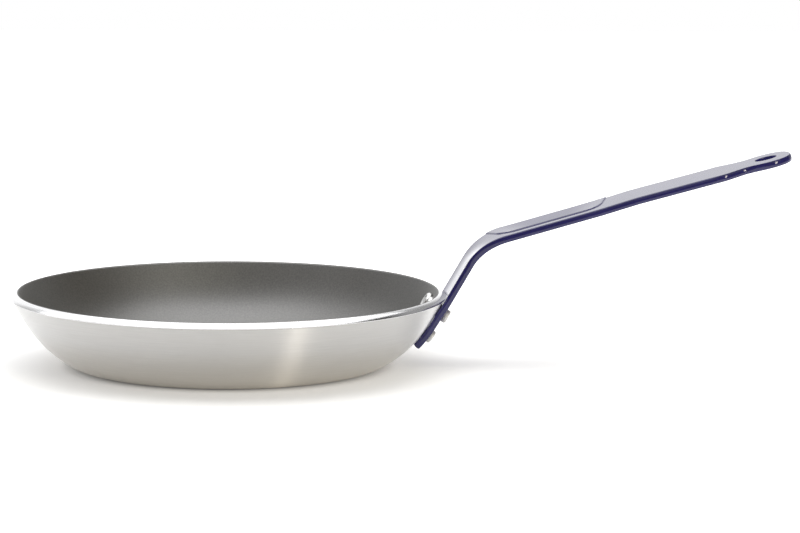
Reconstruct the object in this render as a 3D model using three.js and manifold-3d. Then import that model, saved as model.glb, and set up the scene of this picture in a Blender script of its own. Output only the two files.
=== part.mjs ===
// Nonstick frying pan: a pressed aluminium bowl with a bare polished rim, a nonstick layer on its
// inside, and a bent steel strip handle held to the wall by three solid rivets.
// Millimetres, +Z up, handle along +X, origin at the centre of the base's underside.
import * as THREE from 'three';
import { mergeVertices } from 'three/addons/utils/BufferGeometryUtils.js';
import Module from 'manifold-3d';

const wasm = await Module();
wasm.setup();

// Bowl
const RIM_RADIUS = 120;
const PAN_HEIGHT = 41;
const BASE_RADIUS = 78;
const PLATE = 4.4;
const HEEL_RADIUS = 22.3;
const HEEL_TURN = THREE.MathUtils.degToRad(32.7);
const WALL_CURVE_REACH = 0.41;
const WALL_ANGLE = THREE.MathUtils.degToRad(60);
const RIM_LIP = 0.5;
const RIM_LIP_HEIGHT = 1.2;
const RIM_EDGE_ROUND = 0.4;
const COATING = 0.2;

// Handle strip: it follows the wall, rises past the rim, bends over and runs out as the grip
const STRIP = 3.8;
const STRIP_EDGE_ROUND = 0.9;
const STRIP_START_HEIGHT = 13;
const STRIP_CORNER_CUT = 1.5;
const BASE_WIDTH = 30.6;
const GRIP_WIDTH = 36.4;
const RISER_LENGTH = 22;
const BEND_RADIUS = 34;
const LOWER_GRIP_ANGLE = THREE.MathUtils.degToRad(15.8);
const LOWER_GRIP_LENGTH = 53.6;
const STEP_ANGLE = THREE.MathUtils.degToRad(17.2);
const STEP_LENGTH = 20.8;
const UPPER_GRIP_ANGLE = THREE.MathUtils.degToRad(15);
const UPPER_GRIP_LENGTH = 76;
const END_RADIUS = 15.2;
const HANGING_HOLE_RADIUS = 6;
const NECK_WIDTH = 27.6;
const NECK_TO_HOLE = 12.5;
const SHOULDER_TO_HOLE = 28;

// Raised flat panel on top of the lower grip
const PANEL_HEIGHT = 0.5;
const PANEL_EDGE_RUN = 0.5;
const PANEL_MARGIN = 8.5;
const PANEL_BEFORE_GRIP = 8;
const PANEL_PAST_STEP = 3;
const PANEL_END_ROUND = 6;

// Rivets: a low domed head inside the bowl and a set tail outside the strip
const SHANK_RADIUS = 3;
const HEAD_RADIUS = 5.4;
const HEAD_HEIGHT = 2.2;
const HEAD_EDGE = 0.6;
const TAIL_RADIUS = 3.7;
const TAIL_HEIGHT = 3.2;
const TAIL_ROUND = 1.2;
const UPPER_RIVET_HEIGHT = 30.4;
const LOWER_RIVET_HEIGHT = 18.5;
const UPPER_RIVET_EDGE = 7.3;

// Clearances
const STRIP_GAP = 0.3;
const RIVET_HOLE_GAP = 0.3;
const HEAD_SEAT_GAP = 0.5;
const TAIL_SEAT_GAP = 0.3;

// Facets
const TURNS = 64;
const RIVET_TURNS = 16;
const HEEL_STEPS = 4;
const WALL_STEPS = 8;
const ROUND_STEPS = 3;
const EDGE_STEPS = 2;
const RISER_STEP = 11;
const BEND_STEP = 2.2;
const GRIP_STEP = 5;
const END_STEP = 2.4;
const TIP_TURN = THREE.MathUtils.degToRad(80);
const TIP_STEPS = 7;
const HOLE_TURNS = 32;
const SAME_STOP = 0.05;
const HEIGHT_SEARCH_END = 1e-6;
const DRILL_OVERRUN = 10;

const RIGHT_ANGLE = Math.PI / 2;
const { lerp, smoothstep } = THREE.MathUtils;

// Outer line of the wall in the (radius, height) plane, from the flat base up to the rim's face
function wallLine() {
  const along = new THREE.Vector2(Math.cos(WALL_ANGLE), Math.sin(WALL_ANGLE));
  const rimFace = PLATE + RIM_LIP;
  const corner = new THREE.Vector2(RIM_RADIUS, PAN_HEIGHT - rimFace * along.x);
  const top = corner.clone().add(new THREE.Vector2(-along.y, along.x).multiplyScalar(RIM_LIP));
  const lipFoot = top.clone().addScaledVector(along, -RIM_LIP_HEIGHT);
  const heelEnd = new THREE.Vector2(
    BASE_RADIUS + HEEL_RADIUS * Math.sin(HEEL_TURN),
    HEEL_RADIUS * (1 - Math.cos(HEEL_TURN)),
  );
  const reach = heelEnd.distanceTo(lipFoot) * WALL_CURVE_REACH;
  const heelAlong = new THREE.Vector2(Math.cos(HEEL_TURN), Math.sin(HEEL_TURN));
  const line = new THREE.Path();
  line.moveTo(BASE_RADIUS, 0);
  line.absarc(BASE_RADIUS, HEEL_RADIUS, HEEL_RADIUS, -RIGHT_ANGLE, HEEL_TURN - RIGHT_ANGLE);
  const wall = new THREE.CubicBezierCurve(
    heelEnd,
    heelEnd.clone().addScaledVector(heelAlong, reach),
    lipFoot.clone().addScaledVector(along, -reach),
    lipFoot,
  );
  line.curves.push(wall, new THREE.LineCurve(lipFoot, top));
  return line;
}

const [heelCurve, wallCurve, lipCurve] = wallLine().curves;

// A point of the wall line with its slope; offset points lie square to it, outwards when positive
function wallStation(curve, share) {
  const point = curve.getPoint(share);
  const along = curve.getTangent(share);
  return { point, angle: Math.atan2(along.y, along.x) };
}

function offset(station, distance) {
  const out = new THREE.Vector2(Math.sin(station.angle), -Math.cos(station.angle));
  return station.point.clone().addScaledVector(out, distance);
}

function wallStations() {
  const stations = [];
  for (let i = 0; i < HEEL_STEPS; i++) stations.push(wallStation(heelCurve, i / HEEL_STEPS));
  for (let i = 0; i < WALL_STEPS; i++) stations.push(wallStation(wallCurve, i / WALL_STEPS));
  stations.push(wallStation(lipCurve, 0), wallStation(lipCurve, 1));
  return stations;
}

// The place on the wall's outer face at a height above the floor
function wallAtHeight(height) {
  let low = 0;
  let high = 1;
  while (high - low > HEIGHT_SEARCH_END) {
    const middle = (low + high) / 2;
    if (wallCurve.getPoint(middle).y < height) low = middle;
    else high = middle;
  }
  return { ...wallStation(wallCurve, low), share: low };
}

// Joins and cuts
function solid(geometry) {
  geometry.deleteAttribute('normal');
  geometry.deleteAttribute('uv');
  const merged = mergeVertices(geometry);
  const index = [];
  const all = merged.index.array;
  for (let i = 0; i < all.length; i += 3) {
    const [a, b, c] = all.slice(i, i + 3);
    if (a !== b && b !== c && c !== a) index.push(a, b, c);
  }
  return new wasm.Manifold(new wasm.Mesh({
    numProp: 3,
    vertProperties: new Float32Array(merged.attributes.position.array),
    triVerts: new Uint32Array(index),
  }));
}

function geometryOf(body) {
  const mesh = body.getMesh();
  const geometry = new THREE.BufferGeometry();
  geometry.setAttribute('position', new THREE.BufferAttribute(mesh.vertProperties, 3));
  geometry.setIndex(new THREE.BufferAttribute(mesh.triVerts, 1));
  geometry.computeVertexNormals();
  return geometry;
}

// A solid of revolution about Z from (radius, height) points
function turned(points, turns = TURNS) {
  return new THREE.LatheGeometry(points, turns).rotateX(RIGHT_ANGLE);
}

// Rivets stand square to the wall, each turned about the pan's axis to its place across the strip
function rivetPlaces() {
  const across = BASE_WIDTH / 2 - UPPER_RIVET_EDGE;
  const upper = wallAtHeight(UPPER_RIVET_HEIGHT);
  const lower = wallAtHeight(LOWER_RIVET_HEIGHT);
  const turn = Math.asin(across / upper.point.x);
  return {
    rivet_upper_left: { station: upper, turn: -turn },
    rivet_upper_right: { station: upper, turn },
    rivet_lower: { station: lower, turn: 0 },
  };
}

// Moves geometry made along +Z so that +Z points out of the wall at the rivet's place
function placeAtRivet(geometry, { station, turn }) {
  return geometry
    .rotateY(Math.PI - station.angle)
    .translate(station.point.x, 0, station.point.y)
    .rotateZ(turn);
}

const OUTER_FACE = RIM_LIP + STRIP_GAP + STRIP;
const HEAD_SEAT = PLATE + COATING + HEAD_SEAT_GAP;
const TAIL_SEAT = OUTER_FACE + TAIL_SEAT_GAP;

function rivetGeometry(place) {
  const points = [new THREE.Vector2(0, -HEAD_SEAT - HEAD_HEIGHT)];
  for (let i = 1; i <= ROUND_STEPS; i++) {
    const turn = (i / ROUND_STEPS) * RIGHT_ANGLE;
    const rise = (HEAD_HEIGHT - HEAD_EDGE) * Math.cos(turn);
    points.push(new THREE.Vector2(HEAD_RADIUS * Math.sin(turn), -HEAD_SEAT - HEAD_EDGE - rise));
  }
  points.push(
    new THREE.Vector2(HEAD_RADIUS, -HEAD_SEAT),
    new THREE.Vector2(SHANK_RADIUS, -HEAD_SEAT),
    new THREE.Vector2(SHANK_RADIUS, TAIL_SEAT),
    new THREE.Vector2(TAIL_RADIUS, TAIL_SEAT),
  );
  for (let i = 0; i <= ROUND_STEPS; i++) {
    const turn = (i / ROUND_STEPS) * RIGHT_ANGLE;
    points.push(new THREE.Vector2(
      TAIL_RADIUS - TAIL_ROUND * (1 - Math.cos(turn)),
      TAIL_SEAT + TAIL_HEIGHT - TAIL_ROUND * (1 - Math.sin(turn)),
    ));
  }
  points.push(new THREE.Vector2(0, TAIL_SEAT + TAIL_HEIGHT));
  return placeAtRivet(geometryOf(solid(turned(points, RIVET_TURNS))), place);
}

function cutRivetHoles(body) {
  const radius = SHANK_RADIUS + RIVET_HOLE_GAP;
  const length = 2 * (TAIL_SEAT + DRILL_OVERRUN);
  let cut = body;
  for (const place of Object.values(rivetPlaces())) {
    const drill = new THREE.CylinderGeometry(radius, radius, length, RIVET_TURNS);
    cut = cut.subtract(solid(placeAtRivet(drill.rotateX(RIGHT_ANGLE), place)));
  }
  return cut;
}

// Bowl: outer wall, lip under the polished rim, sloped rim face, inner wall and floor
function panBodyGeometry() {
  const stations = wallStations();
  const top = stations.at(-1);
  const lipFoot = stations.at(-2);
  const points = [new THREE.Vector2(0, 0)];
  for (const station of stations.slice(0, -1)) points.push(offset(station, 0));
  const along = new THREE.Vector2(Math.cos(WALL_ANGLE), Math.sin(WALL_ANGLE));
  const corner = offset(top, RIM_LIP);
  points.push(
    corner.clone().addScaledVector(along, RIM_LIP - RIM_LIP_HEIGHT),
    corner.clone().addScaledVector(along, -RIM_EDGE_ROUND),
    offset(top, RIM_LIP - RIM_EDGE_ROUND),
  );
  for (const station of stations.toReversed()) {
    if (station !== lipFoot) points.push(offset(station, -PLATE));
  }
  points.push(new THREE.Vector2(0, PLATE));
  return geometryOf(cutRivetHoles(solid(turned(points))));
}

function coatingGeometry() {
  const stations = wallStations();
  stations.splice(-2, 1);
  const points = [new THREE.Vector2(0, PLATE)];
  for (const station of stations) points.push(offset(station, -PLATE));
  for (const station of stations.toReversed()) points.push(offset(station, -PLATE - COATING));
  points.push(new THREE.Vector2(0, PLATE + COATING));
  return geometryOf(cutRivetHoles(solid(turned(points))));
}

// The strip's face towards the bowl, which becomes the grip's top, in the (radius, height) plane
function stripPath() {
  const lift = RIM_LIP + STRIP_GAP;
  const start = wallAtHeight(STRIP_START_HEIGHT).share;
  const foot = [];
  for (let i = 0; i <= WALL_STEPS; i++) {
    foot.push(offset(wallStation(wallCurve, lerp(start, 1, i / WALL_STEPS)), lift));
  }
  const path = new THREE.CurvePath();
  path.add(new THREE.SplineCurve(foot));
  const run = (angle, length) => {
    const from = path.curves.at(-1).getPoint(1);
    const along = new THREE.Vector2(Math.cos(angle), Math.sin(angle));
    path.add(new THREE.LineCurve(from, from.clone().addScaledVector(along, length)));
  };
  run(WALL_ANGLE, RIM_LIP_HEIGHT + RISER_LENGTH);
  const bendFoot = { point: path.curves.at(-1).getPoint(1), angle: WALL_ANGLE };
  const centre = offset(bendFoot, BEND_RADIUS);
  const from = WALL_ANGLE + RIGHT_ANGLE;
  const to = LOWER_GRIP_ANGLE + RIGHT_ANGLE;
  path.add(new THREE.EllipseCurve(centre.x, centre.y, BEND_RADIUS, BEND_RADIUS, from, to, true));
  run(LOWER_GRIP_ANGLE, LOWER_GRIP_LENGTH);
  run(STEP_ANGLE, STEP_LENGTH);
  run(UPPER_GRIP_ANGLE, UPPER_GRIP_LENGTH);
  run(UPPER_GRIP_ANGLE, END_RADIUS);
  return path;
}

const strip = stripPath();
const [footEnd, bendStart, bendEnd, stepStart, , holeAt, tipAt] = strip.getCurveLengths();
const panelStart = bendEnd - PANEL_BEFORE_GRIP;
const panelEnd = stepStart + PANEL_PAST_STEP;

// Width of the strip at a distance along it: foot, grip, shoulder, neck and round end
function halfWidth(distance) {
  const beforeHole = holeAt - distance;
  if (beforeHole <= 0) return Math.sqrt(Math.max(0, END_RADIUS ** 2 - beforeHole ** 2));
  if (beforeHole < NECK_TO_HOLE) {
    return lerp(END_RADIUS, NECK_WIDTH / 2, smoothstep(beforeHole, 0, NECK_TO_HOLE));
  }
  if (beforeHole < SHOULDER_TO_HOLE) {
    return lerp(NECK_WIDTH, GRIP_WIDTH, smoothstep(beforeHole, NECK_TO_HOLE, SHOULDER_TO_HOLE)) / 2;
  }
  const cornerCut = STRIP_CORNER_CUT * (1 - smoothstep(distance, 0, STRIP_CORNER_CUT));
  return lerp(BASE_WIDTH, GRIP_WIDTH, smoothstep(distance, bendStart, bendEnd)) / 2 - cornerCut;
}

// Half width and height of the raised panel at a distance along the strip
function panelAt(distance) {
  const inside = Math.min(distance - panelStart, panelEnd - distance);
  const flat = halfWidth(distance) - STRIP_EDGE_ROUND;
  if (inside < 0) return { half: flat / 2 - PANEL_EDGE_RUN / 2, height: 0 };
  const cut = 1 - Math.min(1, inside / PANEL_END_ROUND);
  const round = PANEL_END_ROUND * (1 - Math.sqrt(1 - cut ** 2));
  const height = PANEL_HEIGHT * Math.min(1, inside / PANEL_EDGE_RUN);
  return { half: halfWidth(distance) - PANEL_MARGIN - round, height };
}

// The quarter turns at the strip's long edges, as (across, deep) shares of the edge's rounding
function edgeTurn(step) {
  const turn = (step / EDGE_STEPS) * RIGHT_ANGLE;
  return [Math.sin(turn), 1 - Math.cos(turn)];
}

// One cross section as (across, deep) points, deep counted from the top face
function stripSection(distance) {
  const half = halfWidth(distance);
  const flat = half - STRIP_EDGE_ROUND;
  const panel = panelAt(distance);
  const foot = panel.half + PANEL_EDGE_RUN;
  const top = [[foot, 0], [panel.half, -panel.height], [0, -panel.height]];
  const side = [];
  for (let i = 0; i <= EDGE_STEPS; i++) {
    const [across, deep] = edgeTurn(i);
    side.push([flat + across * STRIP_EDGE_ROUND, deep * STRIP_EDGE_ROUND]);
  }
  const under = side.toReversed().map(([across, deep]) => [across, STRIP - deep]);
  const right = [...top.toReversed(), ...side, ...under, [panel.half, STRIP]];
  const left = right.slice(1).toReversed().map(([across, deep]) => [-across, deep]);
  return [...right, [0, STRIP], ...left];
}

// Places a section point: the foot and riser curve round the bowl, the grip is flat across
function stripPoint(distance, [across, deep]) {
  const share = distance / tipAt;
  const along = strip.getTangent(share);
  const angle = Math.atan2(along.y, along.x);
  const place = offset({ point: strip.getPoint(share), angle }, deep);
  const curl = 1 - smoothstep(distance, bendStart, bendEnd);
  const turn = across / place.x;
  return new THREE.Vector3(
    lerp(place.x, place.x * Math.cos(turn), curl),
    lerp(across, place.x * Math.sin(turn), curl),
    place.y,
  );
}

function stripStops() {
  const stops = [0, STRIP_CORNER_CUT];
  const fill = (from, to, step) => {
    const count = Math.ceil((to - from) / step);
    for (let i = 1; i <= count; i++) stops.push(lerp(from, to, i / count));
  };
  fill(STRIP_CORNER_CUT, footEnd, GRIP_STEP);
  fill(footEnd, bendStart, RISER_STEP);
  fill(bendStart, bendEnd, BEND_STEP);
  fill(bendEnd, holeAt - SHOULDER_TO_HOLE, GRIP_STEP);
  fill(holeAt - SHOULDER_TO_HOLE, holeAt, END_STEP);
  fill(panelStart - PANEL_EDGE_RUN, panelStart + PANEL_EDGE_RUN, PANEL_EDGE_RUN);
  fill(panelStart + PANEL_EDGE_RUN, panelStart + PANEL_END_ROUND, END_STEP);
  fill(panelEnd - PANEL_END_ROUND, panelEnd - PANEL_EDGE_RUN, END_STEP);
  fill(panelEnd - PANEL_EDGE_RUN, panelEnd + PANEL_EDGE_RUN, PANEL_EDGE_RUN);
  for (let i = 1; i <= TIP_STEPS; i++) {
    stops.push(holeAt + END_RADIUS * Math.sin((i / TIP_STEPS) * TIP_TURN));
  }
  stops.sort((a, b) => a - b);
  return stops.filter((stop, i) => i === 0 || stop - stops[i - 1] > SAME_STOP);
}

// The strip as one closed skin over its sections, closed by a fan at each end
function stripBlank() {
  const rings = stripStops().map((stop) => stripSection(stop).map((point) => stripPoint(stop, point)));
  const count = rings[0].length;
  const points = rings.flat();
  const index = [];
  for (let ring = 0; ring + 1 < rings.length; ring++) {
    for (let i = 0; i < count; i++) {
      const a = ring * count + i;
      const b = ring * count + ((i + 1) % count);
      index.push(a, a + count, b, b, a + count, b + count);
    }
  }
  for (const [ring, last] of [[0, false], [rings.length - 1, true]]) {
    const middle = new THREE.Vector3();
    for (const point of rings[ring]) middle.addScaledVector(point, 1 / count);
    points.push(middle);
    for (let i = 0; i < count; i++) {
      const a = ring * count + i;
      const b = ring * count + ((i + 1) % count);
      if (last) index.push(a, points.length - 1, b);
      else index.push(b, points.length - 1, a);
    }
  }
  const geometry = new THREE.BufferGeometry().setFromPoints(points);
  geometry.setIndex(index);
  return geometry;
}

function hangingHole() {
  const length = 2 * (STRIP + DRILL_OVERRUN);
  const drill = new THREE.CylinderGeometry(HANGING_HOLE_RADIUS, HANGING_HOLE_RADIUS, length, HOLE_TURNS);
  const place = strip.getPoint(holeAt / tipAt);
  return drill.rotateX(RIGHT_ANGLE).rotateY(-UPPER_GRIP_ANGLE).translate(place.x, 0, place.y);
}

function handleGeometry() {
  return geometryOf(cutRivetHoles(solid(stripBlank())).subtract(solid(hangingHole())));
}

// Finishes
const aluminium = () => new THREE.MeshStandardMaterial({ color: 0xc8c6c2, roughness: 0.35, metalness: 1 });
const nonstick = () => new THREE.MeshStandardMaterial({ color: 0x55565a, roughness: 0.45, metalness: 0 });
const epoxy = () => new THREE.MeshStandardMaterial({ color: 0x2a2850, roughness: 0.2, metalness: 0 });

function piece(name, geometry, material) {
  const mesh = new THREE.Mesh(geometry, material);
  mesh.name = name;
  return mesh;
}

const pan = new THREE.Group();
pan.add(piece('pan_body', panBodyGeometry(), aluminium()));
pan.add(piece('nonstick_coating', coatingGeometry(), nonstick()));
pan.add(piece('handle', handleGeometry(), epoxy()));
for (const [name, place] of Object.entries(rivetPlaces())) {
  pan.add(piece(name, rivetGeometry(place), aluminium()));
}

export default pan;
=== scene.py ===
"""Nonstick frying pan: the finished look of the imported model, in metres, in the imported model's frame.

The bowl, its nonstick layer, the strip handle and the rivets are remade as fine meshes in the places
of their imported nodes. The pan's and the camera's named lengths are millimetres, and the studio's are
metres. What the frame can tell is read from it.
"""
import bisect
import math

import bmesh
import bpy
from mathutils import Matrix, Vector


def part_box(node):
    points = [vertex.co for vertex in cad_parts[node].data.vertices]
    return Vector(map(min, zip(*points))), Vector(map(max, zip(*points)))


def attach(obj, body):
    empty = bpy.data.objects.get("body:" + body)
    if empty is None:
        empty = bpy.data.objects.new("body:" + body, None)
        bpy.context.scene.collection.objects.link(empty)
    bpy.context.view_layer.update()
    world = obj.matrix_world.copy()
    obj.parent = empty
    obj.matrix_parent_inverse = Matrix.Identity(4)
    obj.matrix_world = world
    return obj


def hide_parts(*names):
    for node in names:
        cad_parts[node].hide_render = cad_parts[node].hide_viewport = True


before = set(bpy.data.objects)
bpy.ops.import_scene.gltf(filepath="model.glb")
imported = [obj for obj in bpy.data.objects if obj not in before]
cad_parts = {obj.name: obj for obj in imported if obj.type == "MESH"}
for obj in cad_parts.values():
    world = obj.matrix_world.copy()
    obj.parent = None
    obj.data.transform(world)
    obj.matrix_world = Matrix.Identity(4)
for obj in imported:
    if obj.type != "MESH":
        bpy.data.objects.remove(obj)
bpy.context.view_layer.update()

MM = 0.001
RIGHT_ANGLE = math.pi / 2
HALF_TURN = math.pi
FULL_TURN = 2 * math.pi
MATRIX_SIZE = 4

# Bowl
BOWL_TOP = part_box("pan_body")[1]
RIM_RADIUS = min(BOWL_TOP.x, BOWL_TOP.y) / MM
PAN_HEIGHT = BOWL_TOP.z / MM
BASE_RADIUS = 78
PLATE = 4.4
HEEL_RADIUS = 22.3
HEEL_TURN = math.radians(32.7)
WALL_CURVE_REACH = 0.41
WALL_ANGLE = math.radians(60)
RIM_LIP = 0.5
RIM_LIP_HEIGHT = 1.0
RIM_OUTER_ROUND = 0.6
RIM_OUTER_LEAN = math.radians(32)
RIM_CROWN_LEAN = math.radians(15)
RIM_INNER_ROUND = 0.25
COATING = 0.2

# Handle strip
STRIP = 3.8
SOFT_EDGE = 1.2
CRISP_EDGE = 0.45
UNDER_EDGE = 0.12
SOFT_FADE = 6
EDGE_LEAN = math.radians(20)
SIDE_BULGE = 0.3
STRIP_GAP = 0.3
STRIP_SEAT = 0.3
STRIP_LEAVE_SHARE = 0.8
STRIP_START_HEIGHT = 13
STRIP_CORNER_CUT = 1.5
BASE_WIDTH = 30.6
GRIP_WIDTH = 36.4
RISER_LENGTH = 22.2
BEND_RADIUS = 34
LOWER_GRIP_ANGLE = math.radians(15.8)
LOWER_GRIP_LENGTH = 53.6
STEP_ANGLE = math.radians(17.2)
STEP_LENGTH = 20.8
UPPER_GRIP_ANGLE = math.radians(15)
UPPER_GRIP_LENGTH = 76
END_LENGTH = 13.6
END_HALF_WIDTH = 16.2
END_SQUARENESS = 2.3
HOLE_RADIUS = 6
HOLE_EDGE_ROUND = 0.4
NECK_WIDTH = 27.6
NECK_TO_HOLE = 12.5
SHOULDER_TO_HOLE = 28

# Raised panel of the lower grip
PANEL_HEIGHT = 0.4
PANEL_EDGE_RUN = 0.35
PANEL_FALL = 4
PANEL_END_FALL = 20
PANEL_BORDER_DIP = 0.12
PANEL_SCOOP = 0.8
PANEL_TILT = 0.04
PANEL_MARGIN = 9.6
PANEL_BEFORE_GRIP = 4.6
PANEL_PAST_STEP = 3
PANEL_END_ROUND = 9
PANEL_SLANT = 0.26

# Rivets
SHANK_RADIUS = 3
HEAD_RADIUS = 5.4
HEAD_HEIGHT = 2.2
HEAD_EDGE = 0.6
HEAD_DISH_RADIUS = 3.6
HEAD_DISH_FLAT = 1.8
HEAD_DISH = 0.5
HEAD_SEAT_GAP = 0.5
TAIL_RADIUS = 3.7
TAIL_HEIGHT = 3.0
TAIL_ROUND = 0.8
UPPER_RIVET_HEIGHT = 30.4
LOWER_RIVET_HEIGHT = 18.5
UPPER_RIVET_EDGE = 7.3

# Mesh fineness: counts, and the lengths of steps and of the fine zones at the panel's ends
BOWL_TURNS = 256
RIVET_TURNS = 48
HEEL_STEPS = 20
WALL_STEPS = 60
ROUND_STEPS = 6
HEAD_STEPS = 12
SIDE_STEPS = 8
STRIP_COLUMNS = 110
TIP_STEPS = 28
RING_STEPS = 10
HALVINGS = 40
FLOOR_RING = 3.0
STRIP_STEP = 1.5
BEND_STEP = 1.0
PANEL_STEP = 0.5
PATH_STEP = 0.25
PANEL_ZONE_INSIDE = 12
PANEL_ZONE_OUTSIDE = 6

# Finishes: linear colours; roughness from a noise's low to its high values; bump as strength and metres.
# The brushed wall's painted reflection of the shaded, warm table, a warm tint low down, fades between two
# shares of the pan's height
WHITE = (1, 1, 1, 1)
TONE_LOW = 0.3
TONE_HIGH = 0.7
NOISE_ROUGHNESS = 0.6
RING_SCALE = 1.0
BRUSHED_DARK = (0.615, 0.610, 0.602, 1)
BRUSHED_LIGHT = (0.675, 0.670, 0.662, 1)
# warm tint painted low on the wall as the reflection of the shaded table near the pan
BRUSHED_PAINTED_REFLECTION_TINT = (1.0, 0.965, 0.895, 1)
BRUSHED_PAINTED_REFLECTION_LOW = 0.05
BRUSHED_PAINTED_REFLECTION_END = 0.6
BRUSHED_ROUGHNESS = (0.28, 0.38)
BRUSHED_ALONG_RINGS = 0.25
BRUSHED_AROUND = 6.0
BRUSHED_ACROSS = 2500.0
BRUSHED_DETAIL = 4.0
BRUSHED_BUMP = (0.05, 0.00005)
POLISHED_DARK = (0.80, 0.80, 0.81, 1)
POLISHED_LIGHT = (0.86, 0.86, 0.87, 1)
POLISHED_ROUGHNESS = (0.14, 0.2)
POLISHED_AROUND = 3.0
POLISHED_ACROSS = 1500.0
POLISHED_DETAIL = 2.0
NONSTICK_DARK = (0.031, 0.030, 0.027, 1)
NONSTICK_LIGHT = (0.078, 0.076, 0.067, 1)
NONSTICK_TONE_LOW = 0.35
NONSTICK_ROUGHNESS = 0.43
NONSTICK_IOR = 1.87
NONSTICK_SPECULAR = 0.75
NONSTICK_GRAIN = 1100.0
NONSTICK_DETAIL = 2.0
NONSTICK_BUMP = (0.2, 0.0001)
EPOXY_DARK = (0.019, 0.018, 0.100, 1)
EPOXY_LIGHT = (0.023, 0.021, 0.114, 1)
EPOXY_ROUGHNESS = 0.11
EPOXY_CLOUDS = 40.0
EPOXY_CLOUD_DETAIL = 2.0
EPOXY_PEEL = 500.0
EPOXY_PEEL_DETAIL = 1.0
EPOXY_BUMP = (0.02, 0.00005)
RIVET_DARK = (0.74, 0.74, 0.74, 1)
RIVET_LIGHT = (0.86, 0.86, 0.85, 1)
RIVET_GRAIN = 700.0
RIVET_DETAIL = 3.0
RIVET_HEAD_ROUGHNESS = (0.22, 0.34)
RIVET_TAIL_ROUGHNESS = (0.62, 0.74)

# Studio, in metres: a white table whose glow is painted light, with painted shade under and near the pan, a
# bright band low behind it, a wide softbox above and a second one over the pan, and a dark room in front with
# one warm panel and one low warm strip light
TABLE_LEFT = -4.0
TABLE_RIGHT = 4.0
TABLE_FRONT = -0.5
TABLE_BACK = 2.5
TABLE_SHADE = (0.8, 0.8, 0.8, 1)
# the table's glow is painted light: low near the pan it paints the soft shadow there, and it is cut away
# under the base to paint the contact shadow
TABLE_PAINTED_LIGHT_NEAR = 0.31
TABLE_PAINTED_LIGHT_FAR = 0.92
PAINTED_CONTACT_SHADOW_END = 0.093
TABLE_PAINTED_LIGHT_START = 0.08
TABLE_PAINTED_LIGHT_END = 0.45
PLAIN_LIGHT = (1, 1, 1)
OVERHEAD_PLACE = (-0.3, 0.675, 1.4)
OVERHEAD_SIZE = (2.6, 2.05)
OVERHEAD_POWER = 21.5
KEY_PLACE = (0, 0.06, 1.39)
KEY_SIZE = (1.6, 1.18)
KEY_POWER = 9.6
PANEL_LIGHT_PLACE = (0.71, -1.18, 1.16)
PANEL_LIGHT_SIZE = (1.6, 1.07)
PANEL_LIGHT_POWER = 2.6
PANEL_LIGHT_COLOUR = (1, 0.98, 0.71)
STRIP_LIGHT_PLACE = (0.92, -1.31, 0.40)
STRIP_LIGHT_SIZE = (0.22, 0.55)
STRIP_LIGHT_POWER = 6.5
STRIP_LIGHT_COLOUR = (1, 0.92, 0.80)

# The bright band: its steps in degrees round the pan, where the back is 0 and the left is minus, and the
# back's place on a ramp of the full turn; then the degrees above the table at which the band changes, and
# its brightness in each stretch as a share of BACK_LEVEL
BAND_LEFT_END = (-80, -68)
BAND_LEFT_STEP = (-30, -20)
BAND_RIGHT_STEP = (10, 20)
BAND_RIGHT_END = (55, 65)
BAND_BACK = 0.5
BAND_MIDDLE = 6
BAND_HIGH_START = 16
BAND_HIGH_END = 36
BAND_TOP = 47
BACK_LEVEL = 2.0
MIDDLE_SHARE = 0.62
HIGH_SHARE = 0.57
LEFT_SHARE = 0.52
RIGHT_SHARE = 0.3
ROOM_COLOUR = (0.06, 0.045, 0.03, 1)

# Camera: it stands about 30 cm above the table, a few degrees round from the handle's side view
FRAME_WIDTH = 800
FRAME_HEIGHT = 533
FOCAL_PIXELS = 3500
SENSOR_WIDTH = 36.0
RIM_CENTRE_PIXEL = (228.5, 290.3)
CAMERA_DISTANCE = 1924
CAMERA_PITCH = math.radians(8.03)
CAMERA_ROLL = math.radians(0.35)
HANDLE_AZIMUTH = math.radians(3.5)
CAMERA_REACH_METRES = 100


def clamp01(value):
    return min(1.0, max(0.0, value))


def smoothstep(value, low, high):
    share = clamp01((value - low) / (high - low))
    return share * share * (3 - 2 * share)


def lerp(a, b, share):
    return a + (b - a) * share


def direction(angle):
    return Vector((math.cos(angle), math.sin(angle)))


class Station:
    """A point of a line in the (radius, height) plane, with the line's slope there."""

    def __init__(self, r, z, angle):
        self.r = r
        self.z = z
        self.angle = angle

    def offset(self, distance):
        return (self.r + distance * math.sin(self.angle), self.z - distance * math.cos(self.angle))


# Outer line of the wall, from the flat base to the rim's face
def rim_corner():
    return (RIM_RADIUS, PAN_HEIGHT - (PLATE + RIM_LIP) * math.cos(WALL_ANGLE))


def wall_top():
    r, z = rim_corner()
    return (r - RIM_LIP * math.sin(WALL_ANGLE), z + RIM_LIP * math.cos(WALL_ANGLE))


def heel_station(turn):
    return Station(BASE_RADIUS + HEEL_RADIUS * math.sin(turn), HEEL_RADIUS * (1 - math.cos(turn)), turn)


def wall_station(share):
    """A point of the curved wall between the heel and the lip, by its share of the way up."""
    heel = heel_station(HEEL_TURN)
    start = Vector((heel.r, heel.z))
    end = Vector(wall_top()) - direction(WALL_ANGLE) * RIM_LIP_HEIGHT
    reach = (end - start).length * WALL_CURVE_REACH
    first = start + direction(HEEL_TURN) * reach
    second = end - direction(WALL_ANGLE) * reach
    rest = 1 - share
    point = start * rest ** 3 + first * 3 * rest ** 2 * share
    point += second * 3 * rest * share ** 2 + end * share ** 3
    slope = (first - start) * rest ** 2 + (second - first) * 2 * rest * share + (end - second) * share ** 2
    return Station(point.x, point.y, math.atan2(slope.y, slope.x))


def wall_stations():
    heel = [heel_station(HEEL_TURN * i / HEEL_STEPS) for i in range(HEEL_STEPS)]
    return heel + [wall_station(i / WALL_STEPS) for i in range(WALL_STEPS + 1)]


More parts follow.
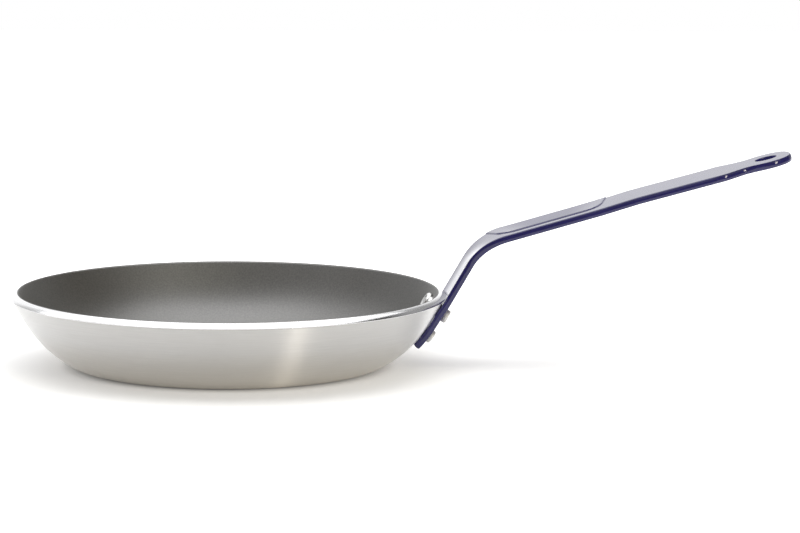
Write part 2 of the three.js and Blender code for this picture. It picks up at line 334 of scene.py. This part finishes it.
def wall_at_height(height):
    """The share of the way up the wall at which it reaches a height."""
    low = 0.0
    high = 1.0
    for _ in range(HALVINGS):
        middle = (low + high) / 2
        if wall_station(middle).z < height:
            low = middle
        else:
            high = middle
    return low


# Meshes
def into_scene(obj):
    bpy.context.scene.collection.objects.link(obj)


def mesh_object(name, vertices, faces, materials, face_material=None):
    mesh = bpy.data.meshes.new(name)
    mesh.from_pydata([tuple(c * MM for c in v) for v in vertices], [], faces)
    for material in materials:
        mesh.materials.append(material)
    if face_material:
        mesh.polygons.foreach_set("material_index", face_material)
    body = bmesh.new()
    body.from_mesh(mesh)
    bmesh.ops.recalc_face_normals(body, faces=body.faces)
    body.to_mesh(mesh)
    body.free()
    mesh.shade_smooth()
    obj = bpy.data.objects.new(name, mesh)
    into_scene(obj)
    return obj


def turned(name, line, turns, materials, material_of=lambda point: 0):
    """A body turned about Z from a line of (radius, height) points that starts and ends on the axis."""
    vertices = [(0, 0, line[0][1])]
    faces = []
    face_material = []
    inner = line[1:-1]
    for r, z in inner:
        for i in range(turns):
            turn = FULL_TURN * i / turns
            vertices.append((r * math.cos(turn), r * math.sin(turn), z))
    vertices.append((0, 0, line[-1][1]))
    last = len(vertices) - 1
    for i in range(turns):
        after = (i + 1) % turns
        faces.append((0, 1 + after, 1 + i))
        face_material.append(material_of(inner[0]))
        for ring in range(len(inner) - 1):
            a = 1 + ring * turns
            faces.append((a + i, a + after, a + turns + after, a + turns + i))
            face_material.append(material_of(inner[ring + 1]))
        a = 1 + (len(inner) - 1) * turns
        faces.append((a + i, a + after, last))
        face_material.append(material_of(inner[-1]))
    return mesh_object(name, vertices, faces, materials, face_material)


# Bowl and its nonstick layer
def floor_rings(radius, height):
    count = math.ceil(radius / FLOOR_RING)
    return [(radius * i / count, height) for i in range(count)]


def rim_line():
    """The polished rim: a low rolled face between a rounded outer edge and a small inner one."""
    corner = Vector(rim_corner())
    along = direction(WALL_ANGLE)
    inward = Vector((-along.y, along.x))
    lean_across = math.sin(RIM_CROWN_LEAN)
    lean_up = math.cos(RIM_CROWN_LEAN)

    def roll(across, up, radius, start, end):
        line = []
        for i in range(RING_STEPS + 1):
            lean = lerp(start, end, i / RING_STEPS)
            place = corner + inward * (across + radius * math.sin(lean))
            line.append(tuple(place + along * (up + radius * math.cos(lean))))
        return line

    outer = RIM_OUTER_ROUND * math.sin(RIM_OUTER_LEAN)
    first = outer - RIM_OUTER_ROUND * lean_across
    last = PLATE + RIM_LIP - RIM_INNER_ROUND * (1 - lean_across)
    crown = (last - first) / (2 * lean_across)
    inner = last - RIM_INNER_ROUND * lean_across
    line = roll(outer, -RIM_OUTER_ROUND * lean_up, RIM_OUTER_ROUND, -RIM_OUTER_LEAN, -RIM_CROWN_LEAN)
    line += roll((first + last) / 2, -crown * lean_up, crown, -RIM_CROWN_LEAN, RIM_CROWN_LEAN)[1:]
    line += roll(inner, -RIM_INNER_ROUND * lean_up, RIM_INNER_ROUND, RIM_CROWN_LEAN, RIGHT_ANGLE)[1:]
    return line


def pan_body(materials):
    outer = [station.offset(0) for station in wall_stations()]
    inner = [station.offset(-PLATE) for station in reversed(wall_stations())]
    rim = rim_line()
    polished = set(rim)
    line = floor_rings(BASE_RADIUS, 0) + outer + rim + inner + floor_rings(BASE_RADIUS, PLATE)[::-1]
    return turned("bowl", line, BOWL_TURNS, materials, lambda point: int(point in polished))


def nonstick_coating(materials):
    stations = wall_stations() + [Station(*wall_top(), WALL_ANGLE)]
    under = [station.offset(-PLATE) for station in stations]
    face = [station.offset(-PLATE - COATING) for station in reversed(stations)]
    line = floor_rings(BASE_RADIUS, PLATE) + under + face + floor_rings(BASE_RADIUS, PLATE + COATING)[::-1]
    return turned("nonstick_layer", line, BOWL_TURNS, materials)


# Path of the handle strip in the (radius, height) plane: its face to the bowl, which becomes the grip's top
def strip_seat(share):
    """How far the strip stands off the wall: close at its foot and clear of the lip at the rim."""
    return lerp(STRIP_SEAT, RIM_LIP + STRIP_GAP, smoothstep(share, STRIP_LEAVE_SHARE, 1))


def path_distances(path):
    distances = [0.0]
    for a, b in zip(path, path[1:]):
        distances.append(distances[-1] + math.hypot(b.r - a.r, b.z - a.z))
    return distances


def strip_path():
    """The path's stations, and the distances along it of the bend's two ends, the step and the hole."""
    start = wall_at_height(STRIP_START_HEIGHT)
    path = []
    for i in range(WALL_STEPS + 1):
        share = lerp(start, 1, i / WALL_STEPS)
        station = wall_station(share)
        path.append(Station(*station.offset(strip_seat(share)), station.angle))

    def run(angle, length):
        count = math.ceil(length / PATH_STEP)
        first = path[-1]
        for i in range(1, count + 1):
            step = length * i / count
            path.append(Station(first.r + step * math.cos(angle), first.z + step * math.sin(angle), angle))
        return path_distances(path)[-1]

    def bend(start_angle, end_angle, radius):
        centre = path[-1].offset(radius)
        count = math.ceil(radius * (start_angle - end_angle) / PATH_STEP)
        for i in range(1, count + 1):
            angle = lerp(start_angle, end_angle, i / count)
            r = centre[0] - radius * math.sin(angle)
            path.append(Station(r, centre[1] + radius * math.cos(angle), angle))
        return path_distances(path)[-1]

    bend_start = run(WALL_ANGLE, RIM_LIP_HEIGHT + RISER_LENGTH)
    bend_end = bend(WALL_ANGLE, LOWER_GRIP_ANGLE, BEND_RADIUS)
    step_start = run(LOWER_GRIP_ANGLE, LOWER_GRIP_LENGTH)
    run(STEP_ANGLE, STEP_LENGTH)
    hole_at = run(UPPER_GRIP_ANGLE, UPPER_GRIP_LENGTH)
    run(UPPER_GRIP_ANGLE, END_LENGTH)
    return path, bend_start, bend_end, step_start, hole_at


PATH, BEND_START, BEND_END, STEP_START, HOLE_AT = strip_path()
PATH_DISTANCES = path_distances(PATH)
PANEL_START = BEND_END - PANEL_BEFORE_GRIP
PANEL_END = STEP_START + PANEL_PAST_STEP


def path_station(distance):
    """The path's station at a distance along it, which may lie a little past either end."""
    low = bisect.bisect_right(PATH_DISTANCES, distance) - 1
    low = min(max(low, 0), len(PATH) - 2)
    share = (distance - PATH_DISTANCES[low]) / (PATH_DISTANCES[low + 1] - PATH_DISTANCES[low])
    a = PATH[low]
    b = PATH[low + 1]
    return Station(lerp(a.r, b.r, share), lerp(a.z, b.z, share), lerp(a.angle, b.angle, share))


# Form of the strip, by the distance along its path and the way across it from the middle
def end_share(past_hole, across):
    """How far out towards the blunt end's outline a point lies, seen from the hanging hole."""
    along = abs(past_hole) / END_LENGTH
    beside = abs(across) / END_HALF_WIDTH
    return (along ** END_SQUARENESS + beside ** END_SQUARENESS) ** (1 / END_SQUARENESS)


def half_width(distance):
    before_hole = HOLE_AT - distance
    if before_hole < NECK_TO_HOLE:
        return lerp(END_HALF_WIDTH, NECK_WIDTH / 2, smoothstep(before_hole, 0, NECK_TO_HOLE))
    if before_hole < SHOULDER_TO_HOLE:
        share = smoothstep(before_hole, NECK_TO_HOLE, SHOULDER_TO_HOLE)
        return lerp(NECK_WIDTH, GRIP_WIDTH, share) / 2
    corner = STRIP_CORNER_CUT * (1 - smoothstep(distance, 0, STRIP_CORNER_CUT))
    return lerp(BASE_WIDTH, GRIP_WIDTH, smoothstep(distance, BEND_START, BEND_END)) / 2 - corner


def rounding(distance, radius):
    """How deep a rounded edge lies at a distance in from the outline."""
    if distance >= radius:
        return 0.0
    inside = radius - max(0.0, distance)
    return radius - math.sqrt(max(0.0, radius ** 2 - inside ** 2))


def top_edge(distance):
    """Rounding of the strip's upper edge: soft along the grip, crisp at the riser and round the end."""
    shoulder = HOLE_AT - SHOULDER_TO_HOLE
    grip = smoothstep(distance, BEND_START, BEND_END) * smoothstep(shoulder - distance, 0, SOFT_FADE)
    return lerp(CRISP_EDGE, SOFT_EDGE, grip)


def edge_depth(distance, across, radius):
    """How deep the rounding of the outline, the foot's end or the hanging hole lies at a point."""
    past_hole = distance - HOLE_AT
    from_hole = math.hypot(past_hole, across)
    if past_hole > 0:
        to_edge = from_hole / end_share(past_hole, across) - from_hole
    else:
        to_edge = half_width(distance) - abs(across)
    cut = 1 - math.cos(EDGE_LEAN)
    depth = rounding(to_edge + cut * radius, radius)
    depth = max(depth, rounding(distance + cut * CRISP_EDGE, CRISP_EDGE))
    return max(depth, rounding(from_hole - HOLE_RADIUS, HOLE_EDGE_ROUND))


def panel_rise(distance, across):
    """Height of the grip's panel: a low raised border round a shallow scoop that runs out at one edge.

    The strip beside the panel dips a little towards its line.
    """
    square = math.cos(math.atan(PANEL_SLANT))
    ends = min(distance - PANEL_START, PANEL_END - distance)
    along = (ends + PANEL_SLANT * across) * square
    beside = across + half_width(distance) - PANEL_MARGIN
    corner = math.hypot(max(PANEL_END_ROUND - along, 0), max(PANEL_END_ROUND - beside, 0))
    inside = PANEL_END_ROUND - corner
    floor = PANEL_TILT * beside - PANEL_SCOOP
    deep = smoothstep(beside, PANEL_EDGE_RUN, PANEL_FALL) * smoothstep(along, 0, PANEL_END_FALL)
    level = lerp(PANEL_HEIGHT, floor, deep)
    dip = PANEL_BORDER_DIP * clamp01(1 + beside / PANEL_MARGIN)
    outside = -dip * smoothstep(along, -PANEL_END_ROUND, PANEL_END_ROUND)
    return lerp(outside, level, smoothstep(inside, 0, PANEL_EDGE_RUN))


def strip_point(distance, across, depth):
    """A point of the bent strip, which follows the wall's curve up to the bend and is flat across past it."""
    station = path_station(distance)
    r, z = station.offset(depth)
    curl = 1 - smoothstep(distance, BEND_START, BEND_END)
    turn = across / r
    return (lerp(r, r * math.cos(turn), curl), lerp(across, r * math.sin(turn), curl), z)


# Strip laid flat
def rounded_insets(radius):
    """Distances in from an outline that follow the rounding of its edge, from the outline inwards."""
    return [radius * (1 - math.cos(RIGHT_ANGLE * i / ROUND_STEPS)) for i in range(ROUND_STEPS + 1)]


def edge_insets():
    soft = [inset for inset in rounded_insets(SOFT_EDGE) if inset > CRISP_EDGE]
    return rounded_insets(CRISP_EDGE) + soft


def columns(distance):
    half = half_width(distance)
    flat = half - SOFT_EDGE
    edge = [half - inset for inset in edge_insets()]
    middle = [lerp(flat, -flat, i / STRIP_COLUMNS) for i in range(1, STRIP_COLUMNS)]
    return edge + middle + [-across for across in reversed(edge)]


def strip_stops():
    """Distances along the strip of its rows of points, from foot to neck, close at the panel's ends."""
    stops = rounded_insets(CRISP_EDGE)
    zones = [
        (STRIP_CORNER_CUT, CRISP_EDGE),
        (BEND_START, STRIP_STEP),
        (PANEL_START - PANEL_ZONE_OUTSIDE, BEND_STEP),
        (PANEL_START + PANEL_ZONE_INSIDE, PANEL_STEP),
        (PANEL_END - PANEL_ZONE_INSIDE, STRIP_STEP),
        (PANEL_END + PANEL_ZONE_OUTSIDE, PANEL_STEP),
        (HOLE_AT - SHOULDER_TO_HOLE, STRIP_STEP),
        (HOLE_AT - NECK_TO_HOLE, BEND_STEP),
    ]
    for end, step in zones:
        start = stops[-1]
        count = math.ceil((end - start) / step)
        stops += [lerp(start, end, i / count) for i in range(1, count + 1)]
    return stops


def end_outline():
    """The outline of the strip past the neck, as (distance, across) points from one side to the other."""
    side = []
    for i in range(1, RING_STEPS + 1):
        distance = HOLE_AT - NECK_TO_HOLE * (1 - i / RING_STEPS)
        side.append((distance, half_width(distance)))
    tip = []
    for i in range(1, TIP_STEPS):
        turn = HALF_TURN * i / TIP_STEPS
        reach = 1 / end_share(math.sin(turn), math.cos(turn))
        tip.append((HOLE_AT + reach * math.sin(turn), reach * math.cos(turn)))
    return side + tip + [(distance, -across) for distance, across in reversed(side)]


class Sheet:
    """The strip laid flat as (distance, across) points with faces, before it is bent and thickened."""

    def __init__(self):
        self.points = []
        self.faces = []
        self.outline = []
        self.hole = []

    def add(self, distance, across):
        self.points.append((distance, across))
        return len(self.points) - 1

    def fill(self, row, after):
        for i in range(len(row) - 1):
            self.faces.append((row[i], row[i + 1], after[i + 1], after[i]))


def hole_ray(sheet, index):
    """Points from the hanging hole's edge out to one point of the outline round it."""
    distance, across = sheet.points[index]
    reach = math.hypot(distance - HOLE_AT, across)
    along = ((distance - HOLE_AT) / reach, across / reach)
    radii = [HOLE_RADIUS + inset for inset in rounded_insets(HOLE_EDGE_ROUND)]
    last = reach - SOFT_EDGE
    radii += [lerp(radii[-1], last, i / RING_STEPS) for i in range(1, RING_STEPS + 1)]
    radii += [reach - inset for inset in reversed(edge_insets()[1:-1])]
    ray = [sheet.add(HOLE_AT + along[0] * radius, along[1] * radius) for radius in radii]
    return ray + [index]


def flat_strip():
    sheet = Sheet()
    rows = [[sheet.add(stop, across) for across in columns(stop)] for stop in strip_stops()]
    for row, after in zip(rows, rows[1:]):
        sheet.fill(row, after)
    border = [sheet.add(*point) for point in end_outline()]
    rays = [hole_ray(sheet, index) for index in rows[-1] + border[::-1]]
    for ray, after in zip(rays, rays[1:] + rays[:1]):
        sheet.fill(ray, after)
    right = [row[0] for row in rows]
    left = [row[-1] for row in rows]
    sheet.outline = rows[0] + left[1:] + border[::-1] + right[:0:-1]
    sheet.hole = [ray[0] for ray in rays]
    return sheet


# Strip bent and thickened
def side_rows(sheet, top_depths, under_depths, vertices):
    """Rows of points down the strip's gently bulging edge, from its top outline to its under one."""
    loop = sheet.outline
    rows = [loop]
    for step in range(1, SIDE_STEPS):
        share = step / SIDE_STEPS
        bulge = 4 * SIDE_BULGE * share * (1 - share)
        row = []
        for before, index, after in zip(loop[-1:] + loop, loop, loop[1:] + loop[:1]):
            way = Vector(sheet.points[after]) - Vector(sheet.points[before])
            out = Vector((way.y, -way.x)).normalized() * bulge
            distance, across = Vector(sheet.points[index]) + out
            row.append(len(vertices))
            depth = lerp(top_depths[index], under_depths[index], share)
            vertices.append(strip_point(distance, across, depth))
        rows.append(row)
    return rows + [[index + len(sheet.points) for index in loop]]


def handle(materials):
    sheet = flat_strip()
    count = len(sheet.points)
    top_depths = []
    under_depths = []
    for distance, across in sheet.points:
        depth = edge_depth(distance, across, top_edge(distance))
        top_depths.append(depth - panel_rise(distance, across))
        under_depths.append(STRIP - edge_depth(distance, across, UNDER_EDGE))
    vertices = [strip_point(*point, depth) for point, depth in zip(sheet.points, top_depths)]
    vertices += [strip_point(*point, depth) for point, depth in zip(sheet.points, under_depths)]
    faces = list(sheet.faces)
    faces += [tuple(index + count for index in reversed(face)) for face in sheet.faces]
    rows = side_rows(sheet, top_depths, under_depths, vertices)
    hole = [sheet.hole, [index + count for index in sheet.hole]]
    for upper, lower in list(zip(rows, rows[1:])) + [hole]:
        for i in range(len(upper)):
            after = (i + 1) % len(upper)
            faces.append((upper[i], upper[after], lower[after], lower[i]))
    return mesh_object("strip_handle", vertices, faces, materials)


# Rivets
def rivet_head_line(seat):
    """The head's face as (radius, height) points: a shallow dish and a dome that falls to the edge."""
    line = []
    for i in range(HEAD_STEPS + 1):
        r = HEAD_DISH_RADIUS * i / HEAD_STEPS
        dish = HEAD_DISH * (1 - smoothstep(r, HEAD_DISH_FLAT, HEAD_DISH_RADIUS))
        line.append((r, seat - HEAD_HEIGHT + dish))
    for i in range(1, HEAD_STEPS + 1):
        turn = RIGHT_ANGLE * i / HEAD_STEPS
        rise = (HEAD_HEIGHT - HEAD_EDGE) * math.cos(turn)
        line.append((lerp(HEAD_DISH_RADIUS, HEAD_RADIUS, math.sin(turn)), seat - HEAD_EDGE - rise))
    return line


def rivet_tail_line(seat):
    """The tail as (radius, height) points: a short stud with a rounded edge."""
    line = [(TAIL_RADIUS, seat)]
    centre = TAIL_RADIUS - TAIL_ROUND
    for i in range(ROUND_STEPS + 1):
        turn = RIGHT_ANGLE * i / ROUND_STEPS
        z = seat + TAIL_HEIGHT - TAIL_ROUND + TAIL_ROUND * math.sin(turn)
        line.append((centre + TAIL_ROUND * math.cos(turn), z))
    return line + [(0, seat + TAIL_HEIGHT)]


def rivet(name, height, across, materials):
    share = wall_at_height(height)
    head_seat = -(PLATE + COATING + HEAD_SEAT_GAP)
    tail_seat = strip_seat(share) + STRIP
    shank = [(HEAD_RADIUS, head_seat), (SHANK_RADIUS, head_seat), (SHANK_RADIUS, tail_seat)]
    line = rivet_head_line(head_seat) + shank + rivet_tail_line(tail_seat)
    obj = turned(name, line, RIVET_TURNS, materials, lambda point: int(point[1] > 0))
    station = wall_station(share)
    lean = Matrix.Rotation(HALF_TURN - station.angle, MATRIX_SIZE, "Y")
    place = Matrix.Translation(Vector((station.r, 0, station.z)) * MM)
    turn = Matrix.Rotation(math.asin(across / station.r), MATRIX_SIZE, "Z")
    obj.data.transform(turn @ place @ lean)
    return obj


# Shader nodes
def set_inputs(tree, node, inputs):
    """Gives each named input its value, or links it where it is given another node's output."""
    for key, value in inputs.items():
        if isinstance(value, bpy.types.NodeSocket):
            tree.links.new(value, node.inputs[key])
        else:
            node.inputs[key].default_value = value


def add_node(tree, kind, inputs=None, **settings):
    node = tree.nodes.new(kind)
    for key, value in settings.items():
        setattr(node, key, value)
    set_inputs(tree, node, inputs or {})
    return node


def node_material(name):
    material = bpy.data.materials.new(name)
    material.use_nodes = True
    tree = material.node_tree
    shader = tree.nodes["Principled BSDF"]
    return material, tree, shader


def object_place(tree):
    return add_node(tree, "ShaderNodeTexCoord").outputs["Object"]


def maths(tree, operation, a, b):
    return add_node(tree, "ShaderNodeMath", {0: a, 1: b}, operation=operation).outputs[0]


def vector_maths(tree, operation, a, b):
    return add_node(tree, "ShaderNodeVectorMath", {0: a, 1: b}, operation=operation).outputs[0]


def vector_length(tree, vector):
    return add_node(tree, "ShaderNodeVectorMath", {0: vector}, operation="LENGTH").outputs["Value"]


def ring_vector(tree, around, across):
    """Coordinates that stay alike round the Z axis and change fast across it, for fine rings."""
    split = add_node(tree, "ShaderNodeSeparateXYZ", {0: object_place(tree)})
    flat_inputs = {"X": split.outputs["X"], "Y": split.outputs["Y"]}
    flat = add_node(tree, "ShaderNodeCombineXYZ", flat_inputs).outputs[0]
    unit = add_node(tree, "ShaderNodeVectorMath", {0: flat}, operation="NORMALIZE").outputs[0]
    spread = vector_maths(tree, "MULTIPLY", unit, (around, around, 0))
    line = maths(tree, "ADD", vector_length(tree, flat), split.outputs["Z"])
    lift = add_node(tree, "ShaderNodeCombineXYZ", {"Z": maths(tree, "MULTIPLY", line, across)})
    return vector_maths(tree, "ADD", spread, lift.outputs[0])


def noise(tree, vector, scale, detail):
    inputs = {"Vector": vector, "Scale": scale, "Detail": detail, "Roughness": NOISE_ROUGHNESS}
    return add_node(tree, "ShaderNodeTexNoise", inputs).outputs["Fac"]


def ramp(tree, value, stops):
    node = add_node(tree, "ShaderNodeValToRGB", {0: value})
    elements = node.color_ramp.elements
    for element, (position, colour) in zip(elements, (stops[0], stops[-1])):
        element.position = position
        element.color = colour
    for position, colour in stops[1:-1]:
        elements.new(position).color = colour
    return node.outputs["Color"]


def two_tone(tree, value, dark, light, low=TONE_LOW):
    return ramp(tree, value, [(low, dark), (TONE_HIGH, light)])


def map_range(tree, value, low, high):
    return add_node(tree, "ShaderNodeMapRange", {"Value": value, "To Min": low, "To Max": high}).outputs[0]


def bump(tree, height, strength, distance):
    inputs = {"Height": height, "Strength": strength, "Distance": distance}
    return add_node(tree, "ShaderNodeBump", inputs).outputs[0]


# Materials
def painted_table_reflection(tree):
    """Painted reflection of the shaded, warm table near the pan: a tint that is warm near the table and plain
    from the middle of the wall up.
    """
    split = add_node(tree, "ShaderNodeSeparateXYZ", {0: object_place(tree)})
    height = add_node(tree, "ShaderNodeMapRange", {"Value": split.outputs["Z"], "From Max": PAN_HEIGHT * MM})
    return ramp(tree, height.outputs[0], [(BRUSHED_PAINTED_REFLECTION_LOW, BRUSHED_PAINTED_REFLECTION_TINT), (BRUSHED_PAINTED_REFLECTION_END, WHITE)])


def brushed_aluminium():
    material, tree, shader = node_material("brushed_aluminium")
    lines = noise(tree, ring_vector(tree, BRUSHED_AROUND, BRUSHED_ACROSS), RING_SCALE, BRUSHED_DETAIL)
    metal = two_tone(tree, lines, BRUSHED_DARK, BRUSHED_LIGHT)
    tangent = add_node(tree, "ShaderNodeTangent", direction_type="RADIAL", axis="Z")
    set_inputs(tree, shader, {
        # the base colour carries a painted reflection of the shaded, warm table low on the wall
        "Base Color": vector_maths(tree, "MULTIPLY", metal, painted_table_reflection(tree)),
        "Metallic": 1.0,
        "Roughness": map_range(tree, lines, *BRUSHED_ROUGHNESS),
        "Anisotropic": 1.0,
        "Anisotropic Rotation": BRUSHED_ALONG_RINGS,
        "Tangent": tangent.outputs[0],
        "Normal": bump(tree, lines, *BRUSHED_BUMP),
    })
    return material


def polished_aluminium():
    material, tree, shader = node_material("polished_aluminium")
    lines = noise(tree, ring_vector(tree, POLISHED_AROUND, POLISHED_ACROSS), RING_SCALE, POLISHED_DETAIL)
    set_inputs(tree, shader, {
        "Base Color": two_tone(tree, lines, POLISHED_DARK, POLISHED_LIGHT),
        "Metallic": 1.0,
        "Roughness": map_range(tree, lines, *POLISHED_ROUGHNESS),
    })
    return material


def nonstick():
    material, tree, shader = node_material("nonstick")
    grain = noise(tree, object_place(tree), NONSTICK_GRAIN, NONSTICK_DETAIL)
    set_inputs(tree, shader, {
        "Base Color": two_tone(tree, grain, NONSTICK_DARK, NONSTICK_LIGHT, NONSTICK_TONE_LOW),
        "Roughness": NONSTICK_ROUGHNESS,
        "IOR": NONSTICK_IOR,
        "Specular IOR Level": NONSTICK_SPECULAR,
        "Normal": bump(tree, grain, *NONSTICK_BUMP),
    })
    return material


def blue_epoxy():
    material, tree, shader = node_material("blue_epoxy")
    place = object_place(tree)
    clouds = noise(tree, place, EPOXY_CLOUDS, EPOXY_CLOUD_DETAIL)
    peel = noise(tree, place, EPOXY_PEEL, EPOXY_PEEL_DETAIL)
    set_inputs(tree, shader, {
        "Base Color": two_tone(tree, clouds, EPOXY_DARK, EPOXY_LIGHT),
        "Roughness": EPOXY_ROUGHNESS,
        "Normal": bump(tree, peel, *EPOXY_BUMP),
    })
    return material


def rivet_aluminium(name, roughness):
    material, tree, shader = node_material(name)
    grain = noise(tree, object_place(tree), RIVET_GRAIN, RIVET_DETAIL)
    set_inputs(tree, shader, {
        "Base Color": two_tone(tree, grain, RIVET_DARK, RIVET_LIGHT),
        "Metallic": 1.0,
        "Roughness": map_range(tree, grain, *roughness),
    })
    return material


# Studio
def painted_table_light(tree):
    """Painted light: the table's glow is none under the base, which paints the contact shadow, dim near the
    pan, which paints its soft shadow, and brighter further out.
    """
    reach = vector_length(tree, object_place(tree))
    painted_glow = add_node(tree, "ShaderNodeMapRange", {
        "Value": reach, "From Min": TABLE_PAINTED_LIGHT_START, "From Max": TABLE_PAINTED_LIGHT_END,
        "To Min": TABLE_PAINTED_LIGHT_NEAR, "To Max": TABLE_PAINTED_LIGHT_FAR,
    })
    painted_contact_shadow = add_node(tree, "ShaderNodeMapRange", {
        "Value": reach, "From Min": BASE_RADIUS * MM, "From Max": PAINTED_CONTACT_SHADOW_END,
    })
    return maths(tree, "MULTIPLY", painted_glow.outputs[0], painted_contact_shadow.outputs[0])


def studio_table():
    corners = [(TABLE_LEFT, TABLE_FRONT, 0), (TABLE_RIGHT, TABLE_FRONT, 0),
               (TABLE_RIGHT, TABLE_BACK, 0), (TABLE_LEFT, TABLE_BACK, 0)]
    mesh = bpy.data.meshes.new("studio_table")
    mesh.from_pydata(corners, [], [(0, 1, 2, 3)])
    material, tree, shader = node_material("studio_table")
    set_inputs(tree, shader, {
        "Base Color": TABLE_SHADE,
        "Roughness": 1.0,
        "Specular IOR Level": 0.0,
        "Emission Color": WHITE,
        "Emission Strength": painted_table_light(tree),
    })
    mesh.materials.append(material)
    obj = bpy.data.objects.new("studio_table", mesh)
    into_scene(obj)


def grey(level):
    return (level, level, level, 1)


def band_round(tree, place):
    """The bright band's colour by the angle round the pan, from the left round the back to the right."""
    left = grey(LEFT_SHARE)
    right = grey(RIGHT_SHARE)
    steps = [(BAND_LEFT_END, ROOM_COLOUR, left), (BAND_LEFT_STEP, left, WHITE),
             (BAND_RIGHT_STEP, WHITE, right), (BAND_RIGHT_END, right, ROOM_COLOUR)]
    stops = []
    for (start, end), before, after in steps:
        stops.append((BAND_BACK + math.radians(start) / FULL_TURN, before))
        stops.append((BAND_BACK + math.radians(end) / FULL_TURN, after))
    angle = maths(tree, "ARCTAN2", place.outputs["X"], place.outputs["Y"])
    around = add_node(tree, "ShaderNodeMapRange", {
        "Value": angle, "From Min": -HALF_TURN, "From Max": HALF_TURN,
    })
    return ramp(tree, around.outputs[0], stops)


def band_rise(tree, place):
    """The bright band's colour by the angle above the table: it is brightest low down."""
    by_degrees = [(0, 1), (BAND_MIDDLE, MIDDLE_SHARE), (BAND_HIGH_START, HIGH_SHARE),
                  (BAND_HIGH_END, HIGH_SHARE), (BAND_TOP, 0)]
    stops = [(math.sin(math.radians(angle)), grey(level)) for angle, level in by_degrees]
    return ramp(tree, place.outputs["Z"], stops)


def studio_world():
    """A bright band low behind the pan in a dark room; the camera itself sees plain white."""
    world = bpy.data.worlds.new("studio_world")
    bpy.context.scene.world = world
    world.use_nodes = True
    tree = world.node_tree
    generated = add_node(tree, "ShaderNodeTexCoord").outputs["Generated"]
    place = add_node(tree, "ShaderNodeSeparateXYZ", {0: generated})
    room = tree.nodes["Background"]
    set_inputs(tree, room, {
        "Color": vector_maths(tree, "MULTIPLY", band_round(tree, place), band_rise(tree, place)),
        "Strength": BACK_LEVEL,
    })
    plain = add_node(tree, "ShaderNodeBackground", {"Color": WHITE})
    seen = add_node(tree, "ShaderNodeLightPath").outputs["Is Camera Ray"]
    chosen = add_node(tree, "ShaderNodeMixShader", {0: seen, 1: room.outputs[0], 2: plain.outputs[0]})
    set_inputs(tree, tree.nodes["World Output"], {"Surface": chosen.outputs[0]})


def area_light(name, place, aim, size, power, colour):
    light = bpy.data.lights.new(name, "AREA")
    light.shape = "RECTANGLE"
    light.size, light.size_y = size
    light.energy = power
    light.color = colour
    obj = bpy.data.objects.new(name, light)
    obj.location = place
    obj.rotation_euler = (Vector(aim) - Vector(place)).to_track_quat("-Z", "Y").to_euler()
    into_scene(obj)


def studio_lights():
    below_overhead = (*OVERHEAD_PLACE[:2], 0)
    below_key = (*KEY_PLACE[:2], 0)
    pan = (0, 0, PAN_HEIGHT * MM)
    area_light("overhead", OVERHEAD_PLACE, below_overhead, OVERHEAD_SIZE, OVERHEAD_POWER, PLAIN_LIGHT)
    area_light("key", KEY_PLACE, below_key, KEY_SIZE, KEY_POWER, PLAIN_LIGHT)
    area_light("panel_light", PANEL_LIGHT_PLACE, pan, PANEL_LIGHT_SIZE, PANEL_LIGHT_POWER, PANEL_LIGHT_COLOUR)
    area_light("strip_light", STRIP_LIGHT_PLACE, pan, STRIP_LIGHT_SIZE, STRIP_LIGHT_POWER, STRIP_LIGHT_COLOUR)


def photo_camera():
    forward = Vector((0, math.cos(CAMERA_PITCH), -math.sin(CAMERA_PITCH)))
    level_up = Vector((0, math.sin(CAMERA_PITCH), math.cos(CAMERA_PITCH)))
    level_right = Vector((1, 0, 0))
    right = level_right * math.cos(CAMERA_ROLL) + level_up * math.sin(CAMERA_ROLL)
    up = level_up * math.cos(CAMERA_ROLL) - level_right * math.sin(CAMERA_ROLL)
    ray = forward + right * ((RIM_CENTRE_PIXEL[0] - FRAME_WIDTH / 2) / FOCAL_PIXELS)
    ray -= up * ((RIM_CENTRE_PIXEL[1] - FRAME_HEIGHT / 2) / FOCAL_PIXELS)
    place = Vector((0, 0, PAN_HEIGHT)) - ray * CAMERA_DISTANCE
    turn = Matrix.Rotation(-HANDLE_AZIMUTH, MATRIX_SIZE, "Z")
    axes = Matrix((right, up, -forward)).transposed().to_4x4()
    camera = bpy.data.cameras.new("photo_camera")
    camera.sensor_width = SENSOR_WIDTH
    camera.lens = FOCAL_PIXELS * SENSOR_WIDTH / FRAME_WIDTH
    camera.clip_end = CAMERA_REACH_METRES
    obj = bpy.data.objects.new("photo_camera", camera)
    into_scene(obj)
    obj.matrix_world = turn @ Matrix.Translation(place * MM) @ axes
    bpy.context.scene.camera = obj


def place_piece(obj, slot, *nodes):
    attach(obj, "root")
    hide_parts(*nodes)


def build_pan():
    place_piece(pan_body([brushed_aluminium(), polished_aluminium()]), "aluminium", "pan_body")
    place_piece(nonstick_coating([nonstick()]), "nonstick", "nonstick_coating")
    place_piece(handle([blue_epoxy()]), "handle_epoxy", "handle")
    finish = [rivet_aluminium("rivet_head", RIVET_HEAD_ROUGHNESS),
              rivet_aluminium("rivet_tail", RIVET_TAIL_ROUGHNESS)]
    across = BASE_WIDTH / 2 - UPPER_RIVET_EDGE
    for side, name in ((-across, "rivet_upper_left"), (across, "rivet_upper_right")):
        place_piece(rivet(name + "_fine", UPPER_RIVET_HEIGHT, side, finish), "rivet_aluminium", name)
    place_piece(rivet("rivet_lower_fine", LOWER_RIVET_HEIGHT, 0, finish), "rivet_aluminium", "rivet_lower")


def build_studio():
    studio_table()
    studio_world()
    studio_lights()
    photo_camera()
    bpy.context.scene.view_settings.view_transform = "Standard"


build_pan()
build_studio()
